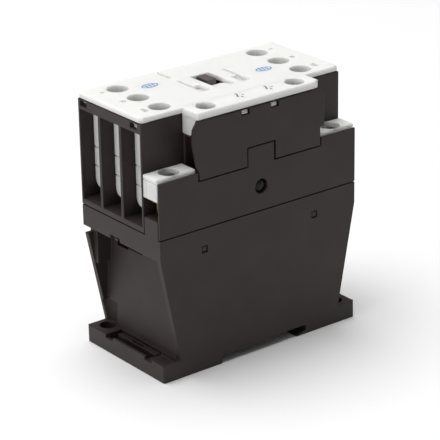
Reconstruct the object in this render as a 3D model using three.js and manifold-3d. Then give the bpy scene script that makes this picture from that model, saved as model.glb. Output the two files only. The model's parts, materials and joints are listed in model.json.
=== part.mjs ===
// Three-pole DIN rail contactor, in millimetres, +Z away from the rail.
// Origin: middle of the foot plate's underside. X runs from one row of main terminals to the other,
// Y from the auxiliary contact side (-Y) to the plain side (+Y).
import * as THREE from 'three';
import { mergeVertices } from 'three/addons/utils/BufferGeometryUtils.js';
import Module from 'manifold-3d';

const wasm = await Module();
wasm.setup();

// ---------------------------------------------------------------- driving dimensions

const halfLength = 42.5;
const halfWidth = 22.5;
const height = 93;
const gap = 0.3;

const plateTop = 6.4;
const skirtBottom = 44.3;
const seam = 52.3;
const blockTop = 90.5;
const coverTop = 92.6;
const coverSheet = 1.8;

const sideWall = 2.2;
const wellX = 31;
const wellFloor = 8;

const poleCount = 3;
const poleWall = 1.5;
const outerWall = 0.9;
const blockWallY = -13.6;
const chamberFloor = seam + 2;
const chamberRoof = 86.8;
const lowDeck = 69.1;
const capTop = 73.5;

const travel = 5.5;
const contactGap = travel + gap;
const screwX = 30.3;
const auxScrewX = 19;
const auxY = -17.8;
const coilScrewX = 34.8;
const coilY = -17.7;

const chamberWidth = (halfWidth - blockWallY - 2 * outerWall - (poleCount - 1) * poleWall) / poleCount;
const polePitch = chamberWidth + poleWall;
const poleY = [1, 0, -1].map((i) => (halfWidth + blockWallY) / 2 + i * polePitch);
const ends = [{ side: -1, name: 'left' }, { side: 1, name: 'right' }];

// ---------------------------------------------------------------- materials

function finish(color, roughness, metalness = 0) {
  return new THREE.MeshStandardMaterial({ color, roughness, metalness });
}

const blackPlastic = finish('#362f2f', 0.55);
const whitePlastic = finish('#efefe8', 0.45);
const brownPlastic = finish('#4a3a34', 0.5);
const creamPlastic = finish('#d9cfb8', 0.5);
const zincSteel = finish('#b9bcc0', 0.35, 0.9);
const brass = finish('#b9964f', 0.35, 0.9);
const copper = finish('#b87350', 0.35, 0.9);
const springSteel = finish('#8f9296', 0.3, 0.9);
const laminatedSteel = finish('#6d7075', 0.5, 0.8);
const windingTape = finish('#8a3b1e', 0.6);
const rubber = finish('#262626', 0.9);

// ---------------------------------------------------------------- shape helpers

function solid(geometry) {
  geometry.deleteAttribute('normal');
  geometry.deleteAttribute('uv');
  const merged = mergeVertices(geometry, 1e-4);
  const vertProperties = new Float32Array(merged.attributes.position.array);
  const triVerts = new Uint32Array(merged.index.array);
  return new wasm.Manifold(new wasm.Mesh({ numProp: 3, vertProperties, triVerts }));
}

function toGeometry(manifold) {
  const mesh = manifold.getMesh();
  const geometry = new THREE.BufferGeometry();
  geometry.setAttribute('position', new THREE.BufferAttribute(new Float32Array(mesh.vertProperties), 3));
  geometry.setIndex(new THREE.BufferAttribute(new Uint32Array(mesh.triVerts), 1));
  geometry.computeVertexNormals();
  return geometry;
}

const join = (parts) => parts.reduce((sum, part) => sum.add(part));
const cut = (body, tools) => tools.reduce((rest, tool) => rest.subtract(tool), body);

function box(x0, x1, y0, y1, z0, z1) {
  const geometry = new THREE.BoxGeometry(x1 - x0, y1 - y0, z1 - z0);
  geometry.translate((x0 + x1) / 2, (y0 + y1) / 2, (z0 + z1) / 2);
  return solid(geometry);
}

// A box given by its distances from the middle, on one end of the contactor: side is -1 or 1.
function endBox(side, near, far, y0, y1, z0, z1) {
  return side < 0 ? box(-far, -near, y0, y1, z0, z1) : box(near, far, y0, y1, z0, z1);
}

function cylinder(x, y, z0, z1, radius, sides = 24) {
  const geometry = new THREE.CylinderGeometry(radius, radius, z1 - z0, sides);
  geometry.rotateX(Math.PI / 2).translate(x, y, (z0 + z1) / 2);
  return solid(geometry);
}

function cylinderY(x, z, y0, y1, radius, sides = 20) {
  const geometry = new THREE.CylinderGeometry(radius, radius, y1 - y0, sides);
  geometry.translate(x, (y0 + y1) / 2, z);
  return solid(geometry);
}

// An outline in the XZ plane, extruded from y0 to y1.
function prismY(points, y0, y1) {
  const shape = new THREE.Shape(points.map(([x, z]) => new THREE.Vector2(x, z)));
  const geometry = new THREE.ExtrudeGeometry(shape, { depth: y1 - y0, bevelEnabled: false });
  geometry.rotateX(Math.PI / 2).translate(0, y1, 0);
  return solid(geometry);
}

// A plate with rounded corners in the XY plane; radii go round from (x0, y0) anticlockwise.
function plate(x0, x1, y0, y1, z0, z1, [a, b, c, d]) {
  const shape = new THREE.Shape();
  const quarter = Math.PI / 2;
  shape.moveTo(x0 + a, y0).lineTo(x1 - b, y0);
  if (b) shape.absarc(x1 - b, y0 + b, b, -quarter, 0);
  shape.lineTo(x1, y1 - c);
  if (c) shape.absarc(x1 - c, y1 - c, c, 0, quarter);
  shape.lineTo(x0 + d, y1);
  if (d) shape.absarc(x0 + d, y1 - d, d, quarter, 2 * quarter);
  shape.lineTo(x0, y0 + a);
  if (a) shape.absarc(x0 + a, y0 + a, a, 2 * quarter, 3 * quarter);
  const options = { depth: z1 - z0, bevelEnabled: false, curveSegments: 6 };
  return solid(new THREE.ExtrudeGeometry(shape, options).translate(0, 0, z0));
}

// A coil spring along Z from the origin, as a round wire on a helix.
class Helix extends THREE.Curve {
  constructor(radius, length, turns) {
    super();
    Object.assign(this, { radius, length, turns });
  }

  getPoint(t, target = new THREE.Vector3()) {
    const angle = 2 * Math.PI * this.turns * t;
    return target.set(this.radius * Math.cos(angle), this.radius * Math.sin(angle), this.length * t);
  }
}

function spring(radius, length, turns, wire) {
  const section = new THREE.Shape();
  const sides = 6;
  for (let i = 0; i < sides; i += 1) {
    const angle = (2 * Math.PI * i) / sides;
    const point = [wire / 2 * Math.cos(angle), wire / 2 * Math.sin(angle)];
    if (i) section.lineTo(...point);
    else section.moveTo(...point);
  }
  const path = new Helix(radius, length - wire, turns);
  const geometry = new THREE.ExtrudeGeometry(section, { steps: Math.round(10 * turns), extrudePath: path });
  return toGeometry(solid(geometry.translate(0, 0, wire / 2)));
}

// ---------------------------------------------------------------- lower housing and rail fixing

const rail = { left: -17.4, right: 20, ceiling: 2.8, hookTip: 15.6, hookTop: 1.4 };
const mountingHole = { x: 37.2, y: 17.5, radius: 2.9, headRadius: 3.7, headTop: 15 };
const latch = { halfWidth: 11.1, top: 5.3, floor: 1.3, tip: -15, tail: -37.8 };
const channel = { halfWidth: 11.4, top: 5.6, floor: 1, floorEnd: -24.9 };
const pocket = { rim: 1.2, depth: 1.3, notch: 4, latchNotch: 7.4 };
const latchSpringWay = { x0: -35.5, halfY: 2.5, z0: 2.2 };
const latchPull = { near: 0.7, far: 1.8, halfY: 3, z0: 3.4 };
const latchPost = { x0: -35.2, x1: -34, halfY: 2, z0: 2.6 };
const springPillar = { near: 24, halfY: 3 };
const cornerNotch = { x: -39.6, z: 41.4 };
const cornerRib = { x: -39.4, z: 30, width: 1.5 };
const latchSpring = { start: -33.7, end: -23.3, radius: 1.2, wire: 0.5, z: 3.9 };
const endWall = { foot: 35.6, head: 33 };
const vents = { y: [0.8, 9, 15.4], z: [37.4, 36.7], top: 39.5 };
const skirtNotch = { y0: 0.9, y1: 6.3, top: 45.7, hook0: 2.4, hook1: 4.4, depth: 1.6 };
const sideSnap = { x: 24, z: 44.5, half: 1.2 };
const sidePlate = { foot: 35, skirt: 2 };
const coilFloor = 58.6;
const pier = { near: halfLength - 3, y0: -halfWidth + 0.8, y1: blockWallY };

function railRecess() {
  const { left, right, ceiling, hookTip, hookTop } = rail;
  const outline = [
    [left - 0.4, -1], [left - 0.4, 0], [left + 0.5, 1.9], [left, 2.3], [left, ceiling], [-6.5, ceiling],
    [-6.5, ceiling - 0.3], [7.7, ceiling - 0.3], [7.7, ceiling + 0.6], [right, ceiling + 0.6],
    [right, hookTop], [hookTip, 0], [hookTip, -1],
  ];
  return prismY(outline, -halfWidth - 1, halfWidth + 1);
}

// One hole on each end, at opposite corners: the bore, and the room for the screw's head above it.
function mountingHoles() {
  const { x, y, radius, headRadius, headTop } = mountingHole;
  return ends.flatMap(({ side }) => [
    cylinder(side * x, -side * y, -1, plateTop + 1, radius),
    cylinder(side * x, -side * y, plateTop, headTop, headRadius),
  ]);
}

function footPlate() {
  const body = plate(-halfLength, halfLength, -halfWidth, halfWidth, 0, plateTop, [0.8, 0.8, 0.8, 0.8]);
  const { rim, depth, notch } = pocket;
  const pocketFloor = plateTop - depth;
  const tools = [railRecess()];
  for (const { side } of ends) {
    const [x0, x1] = side < 0 ? [-halfLength + rim, -endWall.foot] : [endWall.foot, halfLength - rim];
    const [y0, y1] = side < 0 ? [-halfWidth + rim, -channel.halfWidth] : [channel.halfWidth, halfWidth - rim];
    const radii = side < 0 ? [3, 0, 0, 0] : [0, 0, 3, 0];
    tools.push(plate(x0, x1, y0, y1, pocketFloor, plateTop + 1, radii));
    const notchY = [side * channel.halfWidth, side * (channel.halfWidth + notch)].sort((a, b) => a - b);
    tools.push(endBox(side, halfLength - rim - 0.1, halfLength + 1, ...notchY, pocketFloor, plateTop + 1));
  }
  const { halfWidth: half, top, floor, floorEnd } = channel;
  const rimX = -halfLength + rim;
  tools.push(box(rimX, floorEnd, -half, half, floor, top));
  tools.push(box(floorEnd - 0.1, rail.left + 1, -half, half, -1, top));
  tools.push(box(rimX, -endWall.foot, -half, half, top - 1, plateTop + 1));
  tools.push(box(-halfLength - 1, rimX + 0.1, pocket.latchNotch, half + 0.1, pocketFloor, plateTop + 1));
  tools.push(box(endWall.foot, halfLength + 1, -half, half, plateTop - 0.8, plateTop + 1));
  return cut(body, tools);
}

function lowerShell() {
  const top = seam - gap;
  const outline = [
    [-sidePlate.foot, plateTop - 0.1], [sidePlate.foot, plateTop - 0.1], [halfLength, skirtBottom],
    [halfLength, top], [-halfLength, top], [-halfLength, skirtBottom],
  ];
  const inner = halfWidth - sideWall;
  const sillTop = plateTop + 4;
  const lean = (endWall.foot - endWall.head) * (sillTop - plateTop) / (skirtBottom - plateTop);
  const sill = prismY([
    [-endWall.foot, plateTop - 0.1], [endWall.foot, plateTop - 0.1],
    [endWall.foot - lean, sillTop], [-endWall.foot + lean, sillTop],
  ], -inner, inner);
  const shell = prismY(outline, -halfWidth, halfWidth).add(sill);
  const tools = [];
  for (const { side } of ends) {
    const pocket = [
      [halfLength + 5, plateTop], [endWall.foot, plateTop], [endWall.head, skirtBottom],
      [endWall.head, top - 2], [halfLength - sidePlate.skirt, top - 2],
      [halfLength - sidePlate.skirt, skirtBottom], [halfLength + 5, skirtBottom],
    ].map(([x, z]) => [side * x, z]);
    tools.push(prismY(side < 0 ? pocket : pocket.reverse(), -inner, inner));
  }
  tools.push(box(-halfLength - 1, cornerNotch.x, inner - 1, halfWidth + 1, cornerNotch.z, skirtBottom));
  const rib = box(cornerRib.x, -endWall.head, inner - cornerRib.width, inner, cornerRib.z, skirtBottom + 1);
  return cut(shell, tools).add(rib);
}

// Two slots high in an end wall, and the notch in the skirt's lower edge that shows a hook.
function ventSlots(side) {
  const turned = (a, b) => (side < 0 ? [a, b] : [-b, -a]);
  const slots = vents.z.map((z, i) => endBox(side, wellX - 1, endWall.head + 3,
    ...turned(vents.y[i], vents.y[i + 1]), z, vents.top));
  const { y0, y1, top, hook0, hook1, depth } = skirtNotch;
  const notch = endBox(side, halfLength - depth, halfLength + 1, ...turned(y0, y1), skirtBottom - 1, top);
  const hook = endBox(side, halfLength - depth - 1, halfLength - 0.4, ...turned(hook0, hook1), 0, top - 0.5);
  return [...slots, notch.subtract(hook)];
}

function lowerHousing() {
  const inner = halfWidth - sideWall;
  const tools = [box(-wellX, wellX, -inner, inner, wellFloor, height)];
  for (const side of [-1, 1]) {
    const { x, z, half } = sideSnap;
    for (const faceY of [-halfWidth, halfWidth]) {
      tools.push(box(side * x - half, side * x + half, faceY - 3, faceY + 3, z - half, z + half));
    }
    tools.push(...ventSlots(side));
  }
  const seat = returnSpring.seat - gap;
  const pillars = ends.map(({ side }) => endBox(side, springPillar.near, wellX + 1,
    -springPillar.halfY, springPillar.halfY, wellFloor - 1, seat));
  const post = box(latchPost.x0, latchPost.x1, -latchPost.halfY, latchPost.halfY, latchPost.z0,
    channel.top + 0.8);
  const piers = ends.map(({ side }) => endBox(side, pier.near + gap, halfLength, pier.y0 + gap, pier.y1 - gap,
    seam - 1, coilFloor));
  const body = cut(footPlate().add(lowerShell()), tools);
  const { halfWidth: half, floor, top } = channel;
  const sliderWay = box(-endWall.foot, rail.left + 1, -half, half, floor, top);
  return join([cut(body, [sliderWay, ...mountingHoles()]), ...pillars, ...piers, post]);
}

function railLatch() {
  const { halfWidth: half, top, floor, tip, tail } = latch;
  const outline = [
    [tail, floor], [-21.2, floor], [-21.2, gap], [tip - 0.6, gap], [tip, 1.5], [-18.8, 1.5],
    [-19.2, 2.2], [-19.2, top], [tail, top],
  ];
  const way = latchSpringWay;
  const pull = latchPull;
  const springWay = box(way.x0, latchSpring.end + gap, -way.halfY, way.halfY, way.z0, top + 1);
  const pullSlot = box(tail + pull.near, tail + pull.far, -pull.halfY, pull.halfY, pull.z0, top + 1);
  return cut(prismY(outline, -half, half), [springWay, pullSlot]);
}

// ---------------------------------------------------------------- upper housing

const snapWindow = { z0: 88.1, z1: 90, halfY: 1.9 };
const windowY = [poleY[0] + 3, poleY[2] - 1.9];
const tab = { x0: -5, x1: 6.2, top: 75.8 };
const lowEndX = 26.1;
const lowEndStep = 1;
const coilWallTop = 72.2;
const deckHollow = { halfX: 24, front: 1.7, back: 1.4, roof: 1.8, stripHalfY: 2.8 };
const pinHole = { x: 0.5, z: 61, radius: 2.65 };
const carrierBay = 7.2;
const auxArmWindow = { half: 3.4, z0: 74.6, z1: 88.4 };

function mainBlock() {
  const body = box(-halfLength, halfLength, blockWallY, halfWidth, seam, blockTop);
  const tools = [];
  for (const y of poleY) {
    const [y0, y1] = [y - chamberWidth / 2, y + chamberWidth / 2];
    tools.push(box(-halfLength - 1, halfLength + 1, y0, y1, chamberFloor, chamberRoof));
    tools.push(box(-halfLength + 1.6, halfLength - 1.6, y0, y1, chamberRoof - 1, height));
  }
  const [back, front] = [poleY[0] + chamberWidth / 2, poleY[2] - chamberWidth / 2];
  tools.push(box(-carrierBay, carrierBay, front, back, chamberFloor, height));
  tools.push(box(-carrierBay, carrierBay, -10.2, 16, seam - 1, chamberFloor + 1));
  for (const { side } of ends) {
    for (const y of windowY) {
      tools.push(endBox(side, halfLength - 3, halfLength + 1, y - snapWindow.halfY, y + snapWindow.halfY,
        snapWindow.z0, snapWindow.z1));
    }
  }
  return cut(body, tools);
}

// The low end starts a step further out on the right, past the wider side wall of the auxiliary block.
const lowEnd = (side) => lowEndX + (side > 0 ? lowEndStep : 0);

function lowDeckBlock() {
  const [y0, y1] = [-halfWidth, blockWallY + 0.1];
  const parts = [
    box(-lowEndX, lowEndX, y0, y1, seam, lowDeck),
    box(tab.x0, tab.x1, y0, y0 + 1.2, lowDeck - 1, tab.top),
  ];
  const { halfX, front, back, roof, stripHalfY } = deckHollow;
  const hollowY = [y0 + front, blockWallY - back];
  const stripWay = [coilY - stripHalfY, coilY + stripHalfY];
  const tools = [box(-halfX, halfX, ...hollowY, seam - 1, lowDeck - roof)];
  for (const { side } of ends) {
    parts.push(endBox(side, lowEndX - 1, halfLength, y0, y1, seam, coilFloor));
    parts.push(endBox(side, lowEnd(side), halfLength, y0, y0 + 0.8, coilFloor - 1, coilWallTop));
    tools.push(endBox(side, lowEndX + 1.4, halfLength - 1.6, ...hollowY, seam - 1, coilFloor - 1.6));
    tools.push(endBox(side, pier.near, halfLength + 1, pier.y0, pier.y1, seam - 1, coilFloor + 0.01));
    tools.push(endBox(side, coilStrip.riser - 0.5, coilStrip.riser + 1.3, ...stripWay, seam - 1, height));
  }
  tools.push(cylinderY(pinHole.x, pinHole.z, y0 - 1, y0 + 3, pinHole.radius));
  return cut(join(parts), tools);
}

function housingHooks() {
  const { x, z, half } = sideSnap;
  const inner = halfWidth - sideWall - gap;
  const hooks = [];
  for (const sx of [-1, 1]) {
    for (const sy of [-1, 1]) {
      const leg = sy < 0 ? [-inner, -inner + 1.2] : [inner - 1.2, inner];
      const lug = sy < 0 ? [-inner - 1.2, -inner + 0.2] : [inner - 0.2, inner + 1.2];
      const reach = half - gap;
      hooks.push(box(sx * x - reach, sx * x + reach, ...leg, z - half, seam + 1));
      hooks.push(box(sx * x - reach, sx * x + reach, ...lug, z - 0.6, z + reach));
    }
  }
  return hooks;
}

function upperHousing() {
  const armWindow = box(-auxArmWindow.half, auxArmWindow.half, blockWallY - 1, blockWallY + 2,
    auxArmWindow.z0, auxArmWindow.z1);
  const body = join([mainBlock(), lowDeckBlock(), ...housingHooks()]);
  return cut(body, [armWindow]);
}

// ---------------------------------------------------------------- white covers

const shaft = { near: 24.9, far: 37.3, tongue: 1.2, bottom: 74.6, tongueBottom: 57.8, bore: 3.75 };
const indicator = { halfX: 1.95, y0: 3.4, y1: 9.7, top: 91.8 };
const indicatorWindow = { halfX: 4, y0: -4.4, y1: 10.3 };
const indicatorRamp = { length: 7, rise: 3.4, drop: 2.6, lap: 0.5, below: 0.6 };
const groove = { near: 6.8, thin: 9.5, far: 10.3, y0: -4.8, y1: 1.5, y2: 9.5, y3: 13.5, depth: 1 };
const snapArm = { inset: 2.9, thick: 1, lugInset: 1.2, lugHeight: 0.6 };

function tongue(side, y) {
  const half = chamberWidth / 2 - gap;
  const radius = 3;
  const shape = new THREE.Shape();
  shape.moveTo(-half, shaft.bottom + 1).lineTo(-half, shaft.tongueBottom + radius);
  shape.absarc(-half + radius, shaft.tongueBottom + radius, radius, Math.PI, 1.5 * Math.PI);
  shape.absarc(half - radius, shaft.tongueBottom + radius, radius, -0.5 * Math.PI, 0);
  shape.lineTo(half, shaft.bottom + 1);
  const options = { depth: shaft.tongue, bevelEnabled: false, curveSegments: 4 };
  const geometry = new THREE.ExtrudeGeometry(shape, options);
  geometry.rotateX(Math.PI / 2).rotateZ(Math.PI / 2);
  geometry.translate(side < 0 ? -shaft.far : shaft.far - shaft.tongue, y, 0);
  return solid(geometry);
}

// Spring arms inside the end walls; each one's lug catches under the top of its window.
function coverLugs() {
  const lugs = [];
  const { inset, thick, lugInset, lugHeight } = snapArm;
  const near = halfLength - inset;
  const half = snapWindow.halfY - gap;
  const high = snapWindow.z1 - gap;
  const low = high - lugHeight;
  const under = coverTop - coverSheet + 0.5;
  for (const { side } of ends) {
    for (const y of windowY) {
      lugs.push(endBox(side, near, near + thick, y - half, y + half, low, under));
      lugs.push(endBox(side, near, halfLength - lugInset, y - half, y + half, low, high));
    }
  }
  return lugs;
}

function frontCover() {
  const underside = coverTop - coverSheet;
  const cornerRadii = [1.5, 1.5, 1.5, 1.5];
  const sheet = plate(-halfLength, halfLength, blockWallY, halfWidth, underside, coverTop, cornerRadii);
  const parts = [sheet, ...coverLugs()];
  const half = chamberWidth / 2 - gap;
  const tools = [];
  for (const { side } of ends) {
    for (const y of poleY) {
      parts.push(endBox(side, shaft.near, shaft.far, y - half, y + half, shaft.bottom, underside + 0.5));
      parts.push(tongue(side, y));
      tools.push(cylinder(side * screwX, y, shaft.bottom - 1, height, shaft.bore, 36));
    }
    tools.push(endBox(side, groove.thin, groove.far, groove.y0, groove.y2, coverTop - groove.depth, height));
    tools.push(endBox(side, groove.near, groove.far, groove.y0, groove.y1, coverTop - groove.depth, height));
  }
  const { thin, far, y3, depth } = groove;
  tools.push(box(-far, -thin, y3, halfWidth + 1, coverTop - depth, height));
  const { halfX, y0, y1 } = indicatorWindow;
  tools.push(box(-halfX, halfX, y0, y1, underside - 1, height));
  const { length, rise, drop, lap, below } = indicatorRamp;
  const ramp = prismY([[0, 0], [length, 0], [0, rise]], -halfX - 0.2, halfX + 0.2);
  const slope = ramp.rotate([0, 0, 90]).translate([0, y0 - lap, underside - drop]);
  const above = box(-2 * halfX, 2 * halfX, y0 - 3, y1, coverTop - below, height);
  return cut(join(parts), tools).add(slope.subtract(above));
}

// ---------------------------------------------------------------- auxiliary contact block

const auxLid = { bottom: 90.5, top: height };
const auxTop = auxLid.bottom - gap;
const auxBottom = lowDeck + gap;
const auxEnd = 25.8;
const auxInner = -21.3;
const auxBack = blockWallY - gap;
const auxWindows = [{ x0: -7.5, x1: -4.1 }, { x0: 5, x1: 8.4 }];
const auxWindowZ = [88, 89.9];
const auxEntry = { z0: 71.6, z1: 83.4, halfY: 2.9 };
const flap = { bottom: 84, thick: 1 };

function auxSideWall() {
  const [tabNear, tabFar, tabTop] = [tab.x0 - gap, tab.x1 + 0.7, tab.top + gap];
  const outline = [
    [-25.5, auxBottom], [-25.6, 71.9], [-26.8, 75.8], [-28, 82.3], [-27.7, 87.4], [-26, auxTop],
    [26.6, auxTop], [28.5, 87.8], [28.5, 76.2], [26.7, 76], [26.7, auxBottom],
    [tabFar, auxBottom], [tabFar, tabTop], [tabNear, tabTop], [tabNear, auxBottom],
  ];
  return prismY(outline.reverse(), -halfWidth, auxInner);
}

function auxHousing() {
  const body = box(-auxEnd, auxEnd, auxInner - 0.1, auxBack, auxBottom, auxTop);
  const hollow = box(-auxEnd + 1, auxEnd - 1, auxInner, auxBack - 0.8, auxBottom + 0.9, height);
  const tabWay = box(tab.x0 - gap, tab.x1 + 0.7, -halfWidth, auxInner + gap, auxBottom - 1, tab.top + gap);
  const armWindow = box(-auxArmWindow.half, auxArmWindow.half, auxBack - 2, auxBack + 1,
    auxArmWindow.z0, auxArmWindow.z1);
  const windows = auxWindows.map(({ x0, x1 }) => box(x0, x1, -halfWidth - 1, auxInner + 1, ...auxWindowZ));
  const { z0, z1, halfY } = auxEntry;
  const flapNear = auxEnd - flap.thick - gap;
  const entries = ends.flatMap(({ side }) => [
    endBox(side, auxEnd - 2, auxEnd + 1, auxY - halfY, auxY + halfY, z0, z1),
    endBox(side, flapNear, auxEnd + 1, auxInner - 0.2, auxBack + 1, flap.bottom - gap, height),
  ]);
  return cut(body.subtract(hollow).add(auxSideWall()), [tabWay, armWindow, ...windows, ...entries]);
}

function auxCover() {
  const { bottom, top } = auxLid;
  const parts = [
    plate(-auxEnd - 0.2, auxEnd + 0.6, -halfWidth, auxBack, bottom, top, [0.6, 2, 0.6, 0.6]),
  ];
  const [z0, z1] = auxWindowZ;
  for (const { x0, x1 } of auxWindows) {
    const [lug0, lug1] = [x0 + gap, x1 - 0.8];
    parts.push(box(lug0, lug1, auxInner + gap, auxInner + 1.3, z0 + gap, bottom + 0.5));
    parts.push(box(lug0, lug1, -halfWidth + gap, auxInner + 0.6, z0 + gap, z1 - gap));
  }
  const tools = [];
  for (const { side } of ends) {
    parts.push(endBox(side, auxEnd - flap.thick, auxEnd, auxInner + gap, auxBack, flap.bottom, bottom + 0.5));
    tools.push(cylinder(side * auxScrewX, auxY, bottom - 1, top + 1, 3.4, 36));
  }
  return cut(join(parts), tools);
}

// ---------------------------------------------------------------- coil terminal caps

function coilCap(side) {
  const [y0, y1] = [-halfWidth + 0.8 + gap, blockWallY - gap];
  const far = halfLength;
  const near = lowEnd(side) + 0.4;
  const shell = endBox(side, near, far, y0, y1, 65.5, capTop);
  const hollow = endBox(side, near + 1, far - 1.2, y0 + 0.6, y1 - 0.6, 60, capTop - 2);
  const hole = cylinder(side * coilScrewX, coilY, capTop - 3, capTop + 1, 3.6, 36);
  return cut(shell, [hollow, hole]);
}

// ---------------------------------------------------------------- terminals

const mainClamp = {
  halfX: 3.8, halfY: 4.7, wall: 0.8, bottom: 54.7, top: 66, base: 1.2, nut: 2.6, hole: 2.4,
};
const auxClamp = {
  halfX: 3, halfY: 2.8, wall: 0.6, bottom: 71, top: 83.9, base: 0.9, nut: 1.6, hole: 1.9,
};
const coilClamp = {
  halfX: 3.4, halfY: 2.7, wall: 0.6, bottom: 59, top: 66.4, base: 0.9, nut: 1.4, hole: 1.9,
};
const screwSize = {
  main: { shank: 2.1, headBottom: 70.8, headTop: 74.2, headRadius: 3.5 },
  coil: { shank: 1.6, headBottom: 69.6, headTop: 71.2, headRadius: 2.7 },
  aux: { shank: 1.6, headBottom: 88.2, headTop: 90.2, headRadius: 2.8 },
};
const strip = { z0: 61, z1: 62.2, halfY: 3.6, inner: 7, outer: 35.4, tipX: 9.6 };
const coilStrip = { z0: 63.6, z1: 64.4, riser: 28.1, foot: 31.9, inner: 12 };
const auxStrip = { low: 70.6, high: 77.3, thick: 0.8, riser: 14.2 };

// A box clamp round the origin's Z axis, open along X: the wire goes in under the strip.
function boxClamp({ halfX, halfY, wall, bottom, top, base, nut, hole }) {
  const body = box(-halfX, halfX, -halfY, halfY, bottom, top);
  const way = box(-halfX - 1, halfX + 1, -halfY + wall, halfY - wall, bottom + base, top - nut);
  return toGeometry(cut(body, [way, cylinder(0, 0, top - nut - 1, top + 1, hole, 16)]));
}

// A terminal screw on the origin's Z axis, with a slotted, cross-recessed head.
function terminalScrew(tip, { shank, headBottom, headTop, headRadius }) {
  const slotDepth = 1;
  const slotHalf = 0.45;
  const body = join([
    cylinder(0, 0, tip, headBottom + 0.1, shank, 16),
    cylinder(0, 0, headBottom, headTop, headRadius, 20),
  ]);
  const slots = [
    box(-headRadius - 1, headRadius + 1, -slotHalf, slotHalf, headTop - slotDepth, headTop + 1),
    box(-slotHalf, slotHalf, -headRadius * 0.55, headRadius * 0.55, headTop - slotDepth, headTop + 1),
  ];
  return toGeometry(cut(body, slots));
}

function fixedContact(side) {
  const { z0, z1, halfY, inner, outer, tipX } = strip;
  const bar = endBox(side, inner, outer, -halfY, halfY, z0, z1);
  return bar.add(cylinder(side * tipX, 0, z1 - 0.1, z1 + 1, 2.4, 16));
}

function auxContact(side) {
  const { low, high, thick, riser } = auxStrip;
  return join([
    endBox(side, 6, riser, -1.8, 1.8, low, low + thick),
    endBox(side, riser - thick, riser, -1.8, 1.8, low, high + thick),
    endBox(side, riser - thick, auxScrewX + 3.4, -1.8, 1.8, high, high + thick),
    cylinder(side * 8, 0, low + thick - 0.1, low + thick + 0.6, 1.5, 12),
  ]);
}

function coilTerminalStrip(side) {
  const { z0, z1, riser, foot, inner } = coilStrip;
  return join([
    endBox(side, riser, coilScrewX + 3.2, -1.8, 1.8, z0, z1),
    endBox(side, riser, riser + 0.8, -1.8, 1.8, foot, z1),
    endBox(side, inner, riser + 0.8, -1.8, 1.8, foot, foot + 0.8),
  ]);
}

// ---------------------------------------------------------------- contact carrier and bridges

const bridge = { z0: 70, z1: 71, halfX: 12.4, halfY: 3.2, tip: 1 };
const carrier = {
  halfX: 5.2, beam0: 80.2, beam1: 84.6, sill: bridge.z0 - gap, bottom: 60.5, cheekX: 5, cheekThick: 2,
};
const contactSpring = { radius: 2.3, wire: 0.7, z0: bridge.z1 + gap, z1: carrier.beam0 - gap };
const auxBridge = { z0: 78.1, z1: 79, halfX: 9.6, halfY: 1.6, tip: 0.5 };
const auxArm = { halfX: 2.5, top: 87.6, beam: 85.2, lip: 76.8, cheek0: auxY - 2.9, cheek1: auxY + 2.1 };
const auxSpring = { radius: 1.1, wire: 0.4, z0: auxBridge.z1 + gap, z1: auxArm.beam - gap };
const armature = { halfX: 22, halfY: 6.8, back0: 42.6, back1: 48.4, leg: 6.5 };
const shading = { near: 17.9, far: 22.9, halfY: 7.9, innerNear: 18.8, innerFar: 22.3, innerY: 7.3 };
const ringSlot = { near: 17.6, far: 19.1, depth: 1.6 };
const pad = { halfX: 20, halfY: 6.5 };
const core = { bottom: 9.3, yoke: 17, top: 31.5, halfY: 7, window: 15.5 };
const pin = { z: 45.6, radius: 1.5, halfLength: 9 };
const wings = { halfX: 29.4, halfY: 4, z0: armature.back1 + gap, z1: seam - 0.7 };
const returnSpring = { x: 26.6, radius: 1.9, wire: 0.6, seat: 33.6, top: wings.z0 - gap };

function carrierFrame() {
  const { halfX, beam0, beam1, sill, bottom } = carrier;
  const [front, back] = [poleY[2] - chamberWidth / 2 + 0.4, poleY[0] + chamberWidth / 2 - 0.4];
  const sillHalf = 4.6;
  const parts = [
    box(-halfX, halfX, front, back, beam0, beam1),
    box(-sillHalf, sillHalf, front, back, bottom, sill),
    box(-halfX, halfX, front, front + 1, bottom, beam1),
    box(-halfX, halfX, back - 1, back, bottom, beam1),
  ];
  for (const wallY of [(poleY[0] + poleY[1]) / 2, (poleY[1] + poleY[2]) / 2]) {
    parts.push(box(-halfX, halfX, wallY - 1.2, wallY + 1.2, bottom, beam1));
  }
  return join(parts);
}

function contactCarrier() {
  const { bottom, beam1, cheekX, cheekThick } = carrier;
  const cheek = [armature.halfY + gap, armature.halfY + gap + cheekThick];
  const cheekZ = [pin.z - 2 * pin.radius, wings.z0 + 1];
  const parts = [
    carrierFrame(),
    box(-cheekX, cheekX, -cheek[1], cheek[1], wings.z0, bottom + 1),
    box(-wings.halfX, wings.halfX, -wings.halfY, wings.halfY, wings.z0, wings.z1),
    box(-cheekX, cheekX, cheek[0], cheek[1], ...cheekZ),
    box(-cheekX, cheekX, -cheek[1], -cheek[0], ...cheekZ),
    box(-indicator.halfX, indicator.halfX, indicator.y0, indicator.y1, beam1 - 1, indicator.top),
    auxArmFrame(),
  ];
  return cut(join(parts), [cylinderY(0, pin.z, -cheek[1] - 1, cheek[1] + 1, pin.radius + gap, 16)]);
}

function auxArmFrame() {
  const { halfX, top, beam, lip, cheek0, cheek1 } = auxArm;
  const front = poleY[2] - chamberWidth / 2 + 1;
  return join([
    box(-halfX, halfX, cheek0, front, beam, top),
    box(-halfX, halfX, front - 1, front + 3, carrier.beam0, top),
    box(-halfX, halfX, cheek0, cheek0 + 0.8, lip, top),
    box(-halfX, halfX, cheek1, cheek1 + 0.8, lip, top),
    box(-halfX, halfX, cheek0, cheek1 + 0.8, lip, lip + 1),
  ]);
}

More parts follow.
